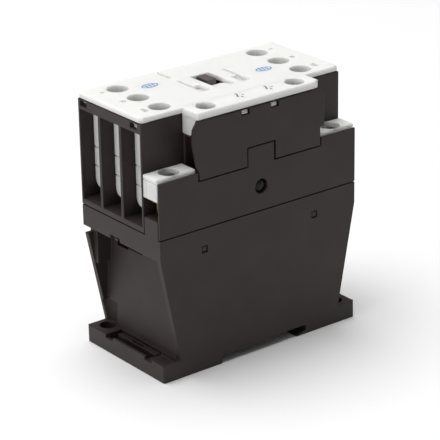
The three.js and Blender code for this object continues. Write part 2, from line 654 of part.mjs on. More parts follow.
function bridgeBar({ z0, z1, halfX, halfY, tip }, tipX, tipRadius) {
  const tips = [-1, 1].map((side) => cylinder(side * tipX, 0, z0 - tip, z0 + 0.1, tipRadius, 16));
  return join([box(-halfX, halfX, -halfY, halfY, z0, z1), ...tips]);
}

// ---------------------------------------------------------------- magnet system

function magnetCore() {
  const { bottom, yoke, top, halfY, window } = core;
  const body = box(-armature.halfX, armature.halfX, -halfY, halfY, bottom, top);
  const tools = ends.flatMap(({ side }) => [
    endBox(side, armature.leg, window, -halfY - 1, halfY + 1, yoke, top + 1),
    endBox(side, ringSlot.near, ringSlot.far, -halfY - 1, halfY + 1, top - ringSlot.depth, top + 1),
  ]);
  return cut(body, tools);
}

function armatureBlock() {
  const { halfX, halfY, back0, back1, leg } = armature;
  const legs = core.top + contactGap;
  const across = [-halfY - 1, halfY + 1];
  const body = box(-halfX, halfX, -halfY, halfY, legs, back1);
  const tools = ends.map(({ side }) => endBox(side, leg, core.window, ...across, legs - 1, back0));
  return cut(body, [...tools, cylinderY(0, pin.z, ...across, pin.radius + gap, 16)]);
}

function rectangularTube(halfX, halfY, wall, z0, z1) {
  return box(-halfX - wall, halfX + wall, -halfY - wall, halfY + wall, z0, z1)
    .subtract(box(-halfX, halfX, -halfY, halfY, z0 - 1, z1 + 1));
}

const bobbin = {
  inX: armature.leg + 0.4, inY: core.halfY + 0.4, wall: 1.2, z0: core.yoke + gap, z1: core.top - 0.6,
};
const flange = { reach: 8.1, thick: 1.3 };

function coilBobbin() {
  const { inX, inY, wall, z0, z1 } = bobbin;
  const flangeTube = (low) => rectangularTube(inX, inY, flange.reach - wall, low, low + flange.thick);
  return join([rectangularTube(inX, inY, wall, z0, z1), flangeTube(z0), flangeTube(z1 - flange.thick),
    box(-coilStrip.inner, coilStrip.inner, coilY - 1.5, -inY - 2, z1 - flange.thick, z1)]);
}

function coilWinding() {
  const { inX, inY, wall, z0, z1 } = bobbin;
  const clear = wall + gap;
  return rectangularTube(inX + clear, inY + clear, 5.2, z0 + flange.thick + gap, z1 - flange.thick - gap);
}

function shadingRing(side) {
  const [z0, z1] = [core.top - 1.1, core.top - 0.3];
  const { near, far, halfY, innerNear, innerFar, innerY } = shading;
  return endBox(side, near, far, -halfY, halfY, z0, z1)
    .subtract(endBox(side, innerNear, innerFar, -innerY, innerY, z0 - 1, z1 + 1));
}

function sidePin() {
  const y0 = -halfWidth + 0.5;
  const profile = [
    [0, 0], [1.4, 0.15], [2.1, 0.6], [2.3, 1.3], [2.3, 2],
    [3.2, 2], [3.2, 3.2], [1.6, 3.2], [1.6, 5.6], [0, 5.6],
  ];
  const geometry = new THREE.LatheGeometry(profile.map(([r, d]) => new THREE.Vector2(r, d)), 20);
  return solid(geometry.translate(pinHole.x, y0, pinHole.z));
}

// ---------------------------------------------------------------- assembly

const group = new THREE.Group();
group.name = 'din_rail_contactor';

function add(name, shape, material, x = 0, y = 0, z = 0) {
  const geometry = shape.isBufferGeometry ? shape : toGeometry(shape);
  const mesh = new THREE.Mesh(geometry, material);
  mesh.name = name;
  mesh.position.set(x, y, z);
  group.add(mesh);
}

add('lower_housing', lowerHousing(), blackPlastic);
add('upper_housing', upperHousing(), blackPlastic);
add('front_cover', frontCover(), whitePlastic);
add('aux_housing', auxHousing(), blackPlastic);
add('aux_cover', auxCover(), whitePlastic);
add('side_pin', sidePin(), rubber);

add('rail_latch', railLatch(), blackPlastic);
const latchCoil = spring(latchSpring.radius, latchSpring.end - latchSpring.start, 5, latchSpring.wire);
add('latch_spring', latchCoil.rotateY(Math.PI / 2), springSteel, latchSpring.start, 0, latchSpring.z);

const mainScrew = terminalScrew(strip.z1 + gap, screwSize.main);
const smallScrews = {
  coil: terminalScrew(coilStrip.z1 + gap, screwSize.coil),
  aux: terminalScrew(auxStrip.high + auxStrip.thick + gap, screwSize.aux),
};
for (const { side, name } of ends) {
  poleY.forEach((y, i) => {
    const pole = `${name}_${i + 1}`;
    add(`main_screw_${pole}`, mainScrew, zincSteel, side * screwX, y);
    add(`main_clamp_${pole}`, boxClamp(mainClamp), zincSteel, side * screwX, y);
    add(`fixed_contact_${pole}`, fixedContact(side), copper, 0, y);
  });
  add(`coil_cap_${name}`, coilCap(side), whitePlastic);
  add(`coil_screw_${name}`, smallScrews.coil, zincSteel, side * coilScrewX, coilY);
  add(`coil_clamp_${name}`, boxClamp(coilClamp), brass, side * coilScrewX, coilY);
  add(`coil_strip_${name}`, coilTerminalStrip(side), brass, 0, coilY);
  add(`aux_screw_${name}`, smallScrews.aux, zincSteel, side * auxScrewX, auxY);
  add(`aux_clamp_${name}`, boxClamp(auxClamp), zincSteel, side * auxScrewX, auxY);
  add(`aux_contact_${name}`, auxContact(side), brass, 0, auxY);
  add(`shading_ring_${name}`, shadingRing(side), copper);
  const coil = spring(returnSpring.radius, returnSpring.top - returnSpring.seat, 6, returnSpring.wire);
  add(`return_spring_${name}`, coil, springSteel, side * returnSpring.x, 0, returnSpring.seat);
}

poleY.forEach((y, i) => {
  add(`moving_bridge_${i + 1}`, bridgeBar(bridge, strip.tipX, 2.2), copper, 0, y);
  const { radius, wire, z0, z1 } = contactSpring;
  add(`contact_spring_${i + 1}`, spring(radius, z1 - z0, 4, wire), springSteel, 0, y, z0);
});
add('aux_bridge', bridgeBar(auxBridge, 8, 1.4), brass, 0, auxY);
const auxCoil = spring(auxSpring.radius, auxSpring.z1 - auxSpring.z0, 4, auxSpring.wire);
add('aux_contact_spring', auxCoil, springSteel, 0, auxY, auxSpring.z0);

add('contact_carrier', contactCarrier(), brownPlastic);
add('armature', armatureBlock(), laminatedSteel);
add('armature_pin', cylinderY(0, pin.z, -pin.halfLength, pin.halfLength, pin.radius, 16), zincSteel);
add('magnet_core', magnetCore(), laminatedSteel);
add('coil_bobbin', coilBobbin(), creamPlastic);
add('coil_winding', coilWinding(), windingTape);
const padShape = box(-pad.halfX, pad.halfX, -pad.halfY, pad.halfY, wellFloor + gap, core.bottom - gap);
add('magnet_pad', padShape, rubber);

export default group;
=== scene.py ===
import json
import math

import bmesh
import bpy
from mathutils import Matrix, Vector


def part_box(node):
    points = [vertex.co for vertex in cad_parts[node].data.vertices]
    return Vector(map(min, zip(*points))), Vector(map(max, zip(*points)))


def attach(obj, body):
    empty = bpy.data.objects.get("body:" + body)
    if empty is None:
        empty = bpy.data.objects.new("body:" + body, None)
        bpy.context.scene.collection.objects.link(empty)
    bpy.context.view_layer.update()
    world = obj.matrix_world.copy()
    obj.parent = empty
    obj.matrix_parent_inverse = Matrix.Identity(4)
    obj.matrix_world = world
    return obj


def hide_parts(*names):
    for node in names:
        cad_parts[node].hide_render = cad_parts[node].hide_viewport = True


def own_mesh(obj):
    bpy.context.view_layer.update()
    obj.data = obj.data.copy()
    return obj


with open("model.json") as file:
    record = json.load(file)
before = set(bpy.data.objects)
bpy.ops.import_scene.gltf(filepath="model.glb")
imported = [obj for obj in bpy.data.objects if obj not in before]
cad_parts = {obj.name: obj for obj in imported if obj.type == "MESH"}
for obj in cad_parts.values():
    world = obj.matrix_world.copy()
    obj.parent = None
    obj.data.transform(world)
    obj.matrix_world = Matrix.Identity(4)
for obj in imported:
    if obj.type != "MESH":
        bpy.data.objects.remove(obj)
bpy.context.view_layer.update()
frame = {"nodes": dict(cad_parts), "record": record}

# ------------------------------------------------------------------ sizes, in millimetres

MM = 0.001
WELD = 0.004                 # vertices closer than this are one
FLAT = math.radians(1)       # faces that meet at less than this are one
CREASE = math.radians(28)    # edges sharper than this are rounded
SOFT = math.radians(50)      # faces that turn less than this shade as one surface
LEVEL = 0.05                 # how near an edge lies to the plane it belongs to
PAST = 1                     # how far a cutter reaches past the surface it opens

MOULDED_EDGE = 0.25          # rounding radius of dark mouldings
METAL_EDGE = 0.15            # of metal parts
COVER_EDGE = 0.55            # of the front cover's rim
LID_EDGE = 0.35              # of the small white covers' rims
MEETING_EDGE = 0.12          # of the edges where the front and auxiliary covers meet
FINE_EDGE = 0.18             # of the white covers' other edges
INK = 0.02                   # thickness of a printed mark
EMBOSS = 0.15                # height of a moulded mark

ENDS = {"left": -1, "right": 1}
POLES = (1, 2, 3)
SCREWS = {
    "main": {"shank": 2.1, "pitch": 0.7, "head": 3.4},
    "coil": {"shank": 1.6, "pitch": 0.6, "head": 1.6},
    "aux": {"shank": 1.6, "pitch": 0.6, "head": 2.0},
}


def corners(node):
    """Lowest and highest corner of a CAD node, in millimetres."""
    low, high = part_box(node)
    return low / MM, high / MM


def middle(node):
    low, high = corners(node)
    return (low + high) / 2


def side_range(side, near, far):
    """Two distances from the middle plane on one side, as a range from low to high."""
    return sorted((side * near, side * far))


# ------------------------------------------------------------------ materials

NOISE_LOW, NOISE_HIGH = 0.3, 0.7    # the range that noise mostly keeps to
TRANSLUCENT_DEPTH = 5               # how far light spreads inside white plastic, in millimetres


def noise(tree, coordinates, scale, detail, stretch=(1, 1, 1)):
    mapping = tree.nodes.new("ShaderNodeMapping")
    mapping.inputs["Scale"].default_value = stretch
    texture = tree.nodes.new("ShaderNodeTexNoise")
    texture.inputs["Scale"].default_value = scale
    texture.inputs["Detail"].default_value = detail
    tree.links.new(coordinates, mapping.inputs["Vector"])
    tree.links.new(mapping.outputs["Vector"], texture.inputs["Vector"])
    return texture.outputs["Fac"]


def between(tree, factor, low, high):
    """A number that runs from low to high as the noise does."""
    spread = tree.nodes.new("ShaderNodeMapRange")
    spread.inputs["From Min"].default_value = NOISE_LOW
    spread.inputs["From Max"].default_value = NOISE_HIGH
    spread.inputs["To Min"].default_value = low
    spread.inputs["To Max"].default_value = high
    tree.links.new(factor, spread.inputs["Value"])
    return spread.outputs["Result"]


def tinted(tree, factor, low, high):
    """A colour that runs from low to high as the noise does."""
    ramp = tree.nodes.new("ShaderNodeValToRGB")
    ramp.color_ramp.elements[0].position = NOISE_LOW
    ramp.color_ramp.elements[1].position = NOISE_HIGH
    ramp.color_ramp.elements[0].color = (*low, 1)
    ramp.color_ramp.elements[1].color = (*high, 1)
    tree.links.new(factor, ramp.inputs["Fac"])
    return ramp.outputs["Color"]


def bumped(tree, height, depth, strength, below=None):
    bump = tree.nodes.new("ShaderNodeBump")
    bump.inputs["Strength"].default_value = strength
    bump.inputs["Distance"].default_value = depth * MM
    tree.links.new(height, bump.inputs["Height"])
    if below:
        tree.links.new(below, bump.inputs["Normal"])
    return bump.outputs["Normal"]


def surface(name, colour, rough, metallic=0.0, vary=0.06, grain=0.35, depth=0.01, mottle=9.0,
            stretch=(1, 1, 1), specular=0.5, translucent=0.0):
    """A moulded or metal surface, with fine detail as wide as grain and broad detail as wide as mottle."""
    rough_spread = 0.05
    broad_depth, broad_strength, fine_strength = 4 * depth, 0.25, 0.6
    material = bpy.data.materials.new(name)
    material.use_nodes = True
    tree = material.node_tree
    shader = tree.nodes["Principled BSDF"]
    shader.inputs["Metallic"].default_value = metallic
    shader.inputs["Specular IOR Level"].default_value = specular
    if translucent:
        shader.inputs["Subsurface Weight"].default_value = translucent
        shader.inputs["Subsurface Radius"].default_value = (1, 1, 1)
        shader.inputs["Subsurface Scale"].default_value = TRANSLUCENT_DEPTH * MM
    coordinates = tree.nodes.new("ShaderNodeTexCoord").outputs["Object"]
    broad = noise(tree, coordinates, 1 / (mottle * MM), detail=4)
    fine = noise(tree, coordinates, 1 / (grain * MM), detail=2, stretch=stretch)
    low = [c * (1 - vary) for c in colour]
    high = [min(1, c * (1 + vary)) for c in colour]
    tree.links.new(tinted(tree, broad, low, high), shader.inputs["Base Color"])
    roughness = between(tree, fine, rough - rough_spread, rough + rough_spread)
    tree.links.new(roughness, shader.inputs["Roughness"])
    rolling = bumped(tree, broad, broad_depth, broad_strength)
    tree.links.new(bumped(tree, fine, depth, fine_strength, rolling), shader.inputs["Normal"])
    return material


def striped(name, colour, seam_colour, rough, metallic, pitch, axis):
    """Layers of one thickness stacked along an axis: laminations, or turns of tape."""
    wave_period = math.pi / 10      # of the wave texture at scale 1
    seam_share, seam_depth, seam_strength, waviness = 0.25, 0.05, 0.7, 0.4
    material = surface(name, colour, rough, metallic, vary=0.05, grain=0.2, depth=0.006)
    tree = material.node_tree
    shader = tree.nodes["Principled BSDF"]
    coordinates = tree.nodes.new("ShaderNodeTexCoord").outputs["Object"]
    wave = tree.nodes.new("ShaderNodeTexWave")
    wave.bands_direction = axis
    wave.inputs["Scale"].default_value = wave_period / (pitch * MM)
    wave.inputs["Distortion"].default_value = waviness
    tree.links.new(coordinates, wave.inputs["Vector"])
    line = tree.nodes.new("ShaderNodeMapRange")
    line.inputs["From Max"].default_value = seam_share
    tree.links.new(wave.outputs["Fac"], line.inputs["Value"])
    mix = tree.nodes.new("ShaderNodeMix")
    mix.data_type = "RGBA"
    mix.inputs["A"].default_value = (*seam_colour, 1)
    tree.links.new(line.outputs["Result"], mix.inputs["Factor"])
    tree.links.new(shader.inputs["Base Color"].links[0].from_socket, mix.inputs["B"])
    tree.links.new(mix.outputs["Result"], shader.inputs["Base Color"])
    below = shader.inputs["Normal"].links[0].from_socket
    grooved = bumped(tree, line.outputs["Result"], seam_depth, seam_strength, below)
    tree.links.new(grooved, shader.inputs["Normal"])
    return material


dark_plastic = surface("dark_plastic", (0.034, 0.0248, 0.0240), 0.5, vary=0.10, grain=0.3, depth=0.012,
                       specular=0.28)
white_plastic = surface("white_plastic", (0.78, 0.78, 0.755), 0.5, vary=0.012, grain=0.4, depth=0.006,
                        specular=0.35, translucent=0.7)
brown_plastic = surface("brown_plastic", (0.092, 0.076, 0.070), 0.42, vary=0.10, grain=0.3, depth=0.010)
cream_plastic = surface("cream_plastic", (0.66, 0.58, 0.42), 0.5, vary=0.03, grain=0.4, depth=0.008)
rubber = surface("rubber", (0.006, 0.006, 0.0065), 0.28, vary=0.12, grain=0.25, depth=0.006,
                 specular=0.16)
zinc = surface("zinc_steel", (0.70, 0.71, 0.73), 0.42, metallic=1, vary=0.05, grain=0.5, depth=0.005,
               mottle=3)
brass = surface("brass", (0.62, 0.44, 0.18), 0.32, metallic=1, vary=0.06, grain=0.12, depth=0.005,
                stretch=(0.15, 1, 1))
copper = surface("copper", (0.66, 0.33, 0.20), 0.34, metallic=1, vary=0.06, grain=0.12, depth=0.005,
                 stretch=(0.15, 1, 1))
silver = surface("silver_tip", (0.80, 0.79, 0.76), 0.38, metallic=1, vary=0.05, grain=0.3, depth=0.006,
                 mottle=2)
spring_steel = surface("spring_steel", (0.42, 0.43, 0.45), 0.25, metallic=1, vary=0.08, grain=0.15,
                       depth=0.004)
laminated = striped("laminated_steel", (0.22, 0.23, 0.25), (0.03, 0.03, 0.03), rough=0.42, metallic=1,
                    pitch=0.5, axis="Y")
tape = striped("winding_tape", (0.30, 0.065, 0.025), (0.10, 0.02, 0.01), rough=0.38, metallic=0,
               pitch=2.6, axis="Z")
blue_ink = surface("blue_ink", (0.10, 0.30, 0.58), 0.5, vary=0.08, grain=0.2, depth=0.004, mottle=1.5)
grey_ink = surface("grey_ink", (0.16, 0.155, 0.15), 0.5, vary=0.10, grain=0.2, depth=0.004, mottle=1.5)

SLOTS = {
    "dark_plastic": dark_plastic, "white_plastic": white_plastic, "brown_plastic": brown_plastic,
    "cream_plastic": cream_plastic, "zinc_steel": zinc, "brass": brass, "copper": copper,
    "spring_steel": spring_steel, "laminated_steel": laminated, "winding_tape": tape, "rubber": rubber,
}
SLOT_OF = {part["node"]: part["material_slot"] for part in frame["record"]["subparts"]}
BODY_OF = {node: body for body, nodes in frame["record"]["behaviour"]["bodies"].items() for node in nodes}


# ------------------------------------------------------------------ mesh helpers

def in_scene(name, data):
    """A new object, linked to the scene."""
    obj = bpy.data.objects.new(name, data)
    bpy.context.scene.collection.objects.link(obj)
    return obj


def make_object(name, shape):
    """A new object from a bmesh in millimetres."""
    mesh = bpy.data.meshes.new(name)
    bmesh.ops.scale(shape, vec=(MM,) * 3, verts=shape.verts)
    bmesh.ops.recalc_face_normals(shape, faces=shape.faces)
    shape.to_mesh(mesh)
    shape.free()
    return in_scene(name, mesh)


def settle(obj):
    """Applies the object's modifiers to its mesh."""
    bpy.context.view_layer.update()
    seen = obj.evaluated_get(bpy.context.evaluated_depsgraph_get())
    mesh = bpy.data.meshes.new_from_object(seen)
    obj.modifiers.clear()
    obj.data = mesh


def shade(obj):
    """Smooth normals, where a broad face outweighs the narrow ones it meets. Sharp edges stay sharp."""
    mesh = obj.data
    faces = [(face.normal.copy(), face.area, list(face.vertices)) for face in mesh.polygons]
    around = [[] for _ in mesh.vertices]
    for normal, area, vertices in faces:
        for vertex in vertices:
            around[vertex].append((normal, area))
    limit = math.cos(SOFT)
    normals = []
    for own, _, vertices in faces:
        for vertex in vertices:
            total = Vector()
            for normal, area in around[vertex]:
                if normal.dot(own) > limit:
                    total += normal * area
            normals.append(total.normalized() if total.length else own)
    mesh.shade_smooth()
    mesh.normals_split_custom_set(normals)


def place(obj, body, slot, material=None):
    """Gives a piece its material, from its slot unless one is given, and the body that it rides on."""
    obj.data.materials.clear()
    obj.data.materials.append(material or SLOTS[slot])
    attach(obj, body)


def add_box(shape, low, high):
    """A box between two corners, added to a bmesh."""
    size = [b - a for a, b in zip(low, high)]
    centre = [(a + b) / 2 for a, b in zip(low, high)]
    matrix = Matrix.Translation(centre) @ Matrix.Diagonal((*size, 1))
    bmesh.ops.create_cube(shape, size=1, matrix=matrix)


def add_prism(shape, outline, z0, z1):
    """A flat outline, anticlockwise, made solid between two heights."""
    low = [shape.verts.new((x, y, z0)) for x, y in outline]
    high = [shape.verts.new((x, y, z1)) for x, y in outline]
    shape.faces.new(low[::-1])
    shape.faces.new(high)
    for i, _ in enumerate(outline):
        k = (i + 1) % len(outline)
        shape.faces.new((low[i], low[k], high[k], high[i]))


def combine(obj, tool, operation):
    """Cuts the tool's space out of the object (DIFFERENCE) or adds it (UNION), and removes the tool."""
    boolean = obj.modifiers.new("combine", "BOOLEAN")
    boolean.operation = operation
    boolean.object = tool
    boolean.solver = "EXACT"
    settle(obj)
    bpy.data.objects.remove(tool)


def box_shape(low, high):
    shape = bmesh.new()
    add_box(shape, low, high)
    return shape


def prism_along_x(outline, x0, x1):
    """An outline in the YZ plane made solid between two distances along X."""
    shape = bmesh.new()
    add_prism(shape, outline, x0, x1)
    onto_x = Matrix(((0, 0, 1, 0), (1, 0, 0, 0), (0, 1, 0, 0), (0, 0, 0, 1)))
    bmesh.ops.transform(shape, matrix=onto_x, verts=shape.verts)
    return shape


def cut_shapes(obj, shapes):
    for shape in shapes:
        combine(obj, make_object("cutter", shape), "DIFFERENCE")


def circle_angles(sides, start=0):
    """Evenly spaced angles round a circle, where start is a share of one step."""
    return [2 * math.pi * (i + start) / sides for i in range(sides)]


def add_skin(shape, rows):
    """Joins closed rings of vertices into one surface, from the first to the last, and closes its ends."""
    sides = len(rows[0])
    for lower, upper in zip(rows, rows[1:]):
        for i in range(sides):
            k = (i + 1) % sides
            shape.faces.new((lower[i], lower[k], upper[k], upper[i]))
    shape.faces.new(rows[0][::-1])
    shape.faces.new(rows[-1])


def welded(mesh):
    """A mesh's own shape in millimetres, with the vertices that share a place made one."""
    shape = bmesh.new()
    shape.from_mesh(mesh)
    bmesh.ops.scale(shape, vec=(1 / MM,) * 3, verts=shape.verts)
    bmesh.ops.remove_doubles(shape, verts=shape.verts, dist=WELD)
    return shape


def tidy_faces(obj):
    """Clean four- and three-sided faces with no needless edges, which round well."""
    most_bent, most_skewed = 0.01, math.radians(60)     # of two triangles that become one face
    shape = welded(obj.data)
    bmesh.ops.dissolve_limit(shape, angle_limit=FLAT, verts=shape.verts, edges=shape.edges)
    bmesh.ops.triangulate(shape, faces=shape.faces)
    bmesh.ops.join_triangles(shape, faces=shape.faces, angle_face_threshold=most_bent,
                             angle_shape_threshold=most_skewed)
    bmesh.ops.scale(shape, vec=(MM,) * 3, verts=shape.verts)
    shape.to_mesh(obj.data)
    shape.free()


def is_sharp(edge):
    return len(edge.link_faces) == 2 and edge.calc_face_angle(0) > CREASE


def room_for(edge):
    """The widest rounding that the short sharp edges across this one leave room for, in millimetres."""
    alike = 0.77        # cosine between edges that run on rather than across
    share = 0.45        # how much of an edge's length one rounding may take
    along = (edge.verts[1].co - edge.verts[0].co).normalized()
    widest = math.inf
    for vertex in edge.verts:
        for other in vertex.link_edges:
            if other is edge or not is_sharp(other):
                continue
            across = (other.verts[1].co - other.verts[0].co).normalized()
            if abs(along.dot(across)) < alike:
                widest = min(widest, share * other.calc_length() / MM)
    return widest


def rounded(obj, radius_at, widest, segments=3):
    """Rounds the sharp edges; radius_at gives an edge's radius from its middle."""
    shape = bmesh.new()
    shape.from_mesh(obj.data)
    weights = shape.edges.layers.float.new("bevel_weight_edge")
    for edge in shape.edges:
        if is_sharp(edge):
            centre = (edge.verts[0].co + edge.verts[1].co) / 2 / MM
            edge[weights] = min(radius_at(centre), room_for(edge)) / widest
    shape.to_mesh(obj.data)
    shape.free()
    bevel = obj.modifiers.new("rounding", "BEVEL")
    bevel.width = widest * MM
    bevel.segments = segments
    bevel.limit_method = "WEIGHT"
    bevel.use_clamp_overlap = False
    settle(obj)


def evenly_rounded(obj, radius):
    rounded(obj, lambda centre: radius, radius)


def refined(node, radius=MOULDED_EDGE, radius_at=None, segments=3, cuts=(), fills=()):
    """A finished piece with the CAD node's shape and real edges, which stands for that node.

    The radius is the same all over, or the widest of those that radius_at gives.
    """
    obj = make_object(node + "_finished", welded(frame["nodes"][node].data))
    cut_shapes(obj, cuts)
    for shape in fills:
        combine(obj, make_object("fill", shape), "UNION")
    tidy_faces(obj)
    rounded(obj, radius_at or (lambda centre: radius), radius, segments)
    place(obj, BODY_OF[node], SLOT_OF[node])
    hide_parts(node)
    shade(obj)
    return obj


def rim_radius(low, high, rim, reach, meeting_y=None):
    """Radius rim on the top's outer edges, a fine one where covers meet, and FINE_EDGE elsewhere."""
    def radius_at(centre):
        if abs(centre.z - high.z) > LEVEL:
            return FINE_EDGE
        if meeting_y is not None and abs(centre.y - meeting_y) < LEVEL:
            return MEETING_EDGE
        inside = min(centre.x - low.x, high.x - centre.x, centre.y - low.y, high.y - centre.y)
        return rim if inside < reach else FINE_EDGE
    return radius_at


# ------------------------------------------------------------------ housings and covers

def low_deck_corner():
    """Closes the narrow slit between the low deck and the right-hand coil wall, flush with the long face."""
    near, far, deep, bottom, top = 25.9, 27.3, 0.8, 57.9, 69.1
    face_y = corners("upper_housing")[0].y
    return box_shape((near, face_y, bottom), (far, face_y + deep, top))


def indicator_top():
    """Brings the carrier's position indicator, at rest, up to just under the cover's top face."""
    half, near_y, far_y, overlap, below = 1.95, 3.4, 9.7, 1, 0.1
    carrier_top, cover_top = corners("contact_carrier")[1].z, corners("front_cover")[1].z
    return box_shape((-half, near_y, carrier_top - overlap), (half, far_y, cover_top - below))


def housings():
    for node in ("lower_housing", "aux_housing", "rail_latch"):
        refined(node)
    refined("upper_housing", fills=[low_deck_corner()])
    refined("contact_carrier", radius=0.2, fills=[indicator_top()])


def tongue_grooves():
    """Fine level grooves across the outer wall of each terminal shaft."""
    wall_x, half, depth, tall = 37.3, 5.4, 0.6, 0.45
    heights = (65.1, 72.0)
    shapes = []
    for side in ENDS.values():
        x0, x1 = side_range(side, wall_x - depth, wall_x + PAST)
        for pole in POLES:
            y = middle(f"main_screw_left_{pole}").y
            for z in heights:
                shapes.append(box_shape((x0, y - half, z), (x1, y + half, z + tall)))
    return shapes


def cover_grooves():
    """The cover's cross grooves, opened to their full width and depth."""
    near, far, depth = 9.3, 10.5, 1.4
    back_y0, back_y1 = 13.4, 24             # the short groove that runs out at the back
    y0, pad_y1, y1 = -4.9, 1.6, 9.6         # the two long ones, whose front ends widen into pads
    pad_near, step = 6.75, 0.05             # step keeps the pad's walls off the groove's
    top = corners("front_cover")[1].z
    shapes = [box_shape((-far, back_y0, top - depth), (-near, back_y1, top + PAST))]
    for side in ENDS.values():
        x0, x1 = side_range(side, near, far)
        shapes.append(box_shape((x0, y0, top - depth), (x1, y1, top + PAST)))
        x0, x1 = side_range(side, pad_near, far + step)
        shapes.append(box_shape((x0, y0 - step, top - depth - step), (x1, pad_y1, top + PAST)))
    return shapes


def window_ridges():
    """A fine level groove across each of the two hooks that show in the auxiliary housing's windows."""
    windows_x = ((-7.5, -4.1), (5.0, 8.4))
    deep, bottom, top = 0.55, 88.9, 89.1
    face_y = corners("aux_housing")[0].y
    return [box_shape((x0, face_y - PAST, bottom), (x1, face_y + deep, top)) for x0, x1 in windows_x]


def indicator_sill():
    """The pale, gently sloping floor beside the position indicator, at the front end of its window."""
    half, near_y, far_y, bottom, far_top, near_top = 3.9, -4.3, 3.1, 89.9, 90.6, 92.1
    outline = [(near_y, bottom), (far_y, bottom), (far_y, far_top), (near_y, near_top)]
    obj = make_object("indicator_sill", prism_along_x(outline, -half, half))
    evenly_rounded(obj, METAL_EDGE)
    place(obj, "housing", "white_plastic")
    shade(obj)


def flap_slopes():
    """The slanted edge of each flap that hangs from the auxiliary cover's ends."""
    near, far, inset, long, tall, under = 24.6, 26.1, 1.3, 3.4, 4.6, 0.2
    low = corners("aux_cover")[0]
    edge_y, bottom = low.y + inset, low.z - under
    outline = [(edge_y, bottom), (edge_y + long, bottom), (edge_y, low.z + tall)]
    return [prism_along_x(outline, *side_range(side, near, far)) for side in ENDS.values()]


def cap_seams(node, side):
    """Two fine seams on a coil cap's outer end: one under the top, one near the inner edge."""
    wide, depth, under_top, off_edge = 0.3, 0.25, 1.5, 1.6
    low, high = corners(node)
    end_x = low.x if side < 0 else high.x
    x0, x1 = sorted((end_x - side * depth, end_x + side * PAST))
    level, inner = high.z - under_top, high.y - off_edge
    return [box_shape((x0, low.y - PAST, level - wide), (x1, high.y + PAST, level)),
            box_shape((x0, inner - wide, low.z - PAST), (x1, inner, level - wide / 2))]


def covers():
    cover_reach, lid_reach = 1.6, 0.9       # how far in from the outside an edge still belongs to the rim
    low, high = corners("front_cover")
    refined("front_cover", COVER_EDGE, rim_radius(low, high, COVER_EDGE, cover_reach, low.y), segments=4,
            cuts=tongue_grooves() + cover_grooves())
    low, high = corners("aux_cover")
    refined("aux_cover", LID_EDGE, rim_radius(low, high, LID_EDGE, lid_reach, high.y), segments=4,
            cuts=flap_slopes() + window_ridges())
    for end, side in ENDS.items():
        node = f"coil_cap_{end}"
        refined(node, LID_EDGE, rim_radius(*corners(node), LID_EDGE, lid_reach), segments=4,
                cuts=cap_seams(node, side))


def side_hook_faces():
    """The outer faces of the snap hooks that fill the four square windows in the long sides."""
    window_x, window_z, half, deep, set_back = 24, 44.5, 0.9, 1.5, 0.3
    low, high = corners("lower_housing")
    shape = bmesh.new()
    for x in (-window_x, window_x):
        for face_y, inward in ((low.y, 1), (high.y, -1)):
            y0, y1 = sorted((face_y + inward * set_back, face_y + inward * deep))
            add_box(shape, (x - half, y0, window_z - half), (x + half, y1, window_z + half))
    obj = make_object("side_hook_faces", shape)
    evenly_rounded(obj, METAL_EDGE)
    place(obj, "housing", "dark_plastic")
    shade(obj)


# ------------------------------------------------------------------ marks

def marks(name, draw, material, slot=None):
    shape = bmesh.new()
    draw(shape)
    place(make_object(name, shape), "housing", slot, material)


def bar(shape, x, y, length, width, angle, z, height):
    """A short level bar centred on a point, at an angle in degrees from X."""
    turn = math.radians(angle)
    along = Vector((math.cos(turn), math.sin(turn))) * length / 2
    across = Vector((-math.sin(turn), math.cos(turn))) * width / 2
    centre = Vector((x, y))
    outline = [centre - along - across, centre + along - across,
               centre + along + across, centre - along + across]
    add_prism(shape, [tuple(point) for point in outline], z - INK / 2, z + height)


def ring(shape, x, y, half_x, half_y, width, z, height):
    """A flat closed oval band round a point."""
    sides = 16
    rows = []
    for inset in (0, width):
        for level in (z - INK / 2, z + height):
            rows.append([shape.verts.new((x + (half_x - inset) * math.cos(turn),
                                          y + (half_y - inset) * math.sin(turn), level))
                         for turn in circle_angles(sides, start=0.5)])
    outer_low, outer_high, inner_low, inner_high = rows
    for i in range(sides):
        k = (i + 1) % sides
        shape.faces.new((outer_low[i], outer_low[k], outer_high[k], outer_high[i]))
        shape.faces.new((outer_high[i], outer_high[k], inner_high[k], inner_high[i]))
        shape.faces.new((inner_high[i], inner_high[k], inner_low[k], inner_low[i]))
        shape.faces.new((inner_low[i], inner_low[k], outer_low[k], outer_low[i]))


def cover_marks():
    """Two plain printed badges on the front cover: an oval band round three bars."""
    places = ((-20.1, 11.7), (20.4, 0.4))
    half_x, half_y, band = 3.3, 2.0, 0.5
    bar_length, bar_width, bar_pitch = 2.0, 0.6, 1.35
    top = corners("front_cover")[1].z

    def draw(shape):
        for x, y in places:
            ring(shape, x, y, half_x, half_y, band, top, INK)
            for step in (-1, 0, 1):
                bar(shape, x + step * bar_pitch, y, bar_length, bar_width, 90, top, INK)

    marks("cover_badges", draw, blue_ink)


def pole_tallies():
    """Moulded strokes beside each main screw hole that count the poles."""
    off_hole, pitch, length, width = 6.2, 1.1, 1.6, 0.4
    top = corners("front_cover")[1].z

    def draw(shape):
        for end, side in ENDS.items():
            for pole in POLES:
                hole = middle(f"main_screw_{end}_{pole}")
                for stroke in range(pole):
                    y = hole.y + pitch * (stroke - (pole - 1) / 2)
                    bar(shape, hole.x + side * off_hole, y, length, width, 0, top, EMBOSS)

    marks("pole_tallies", draw, white_plastic, "white_plastic")


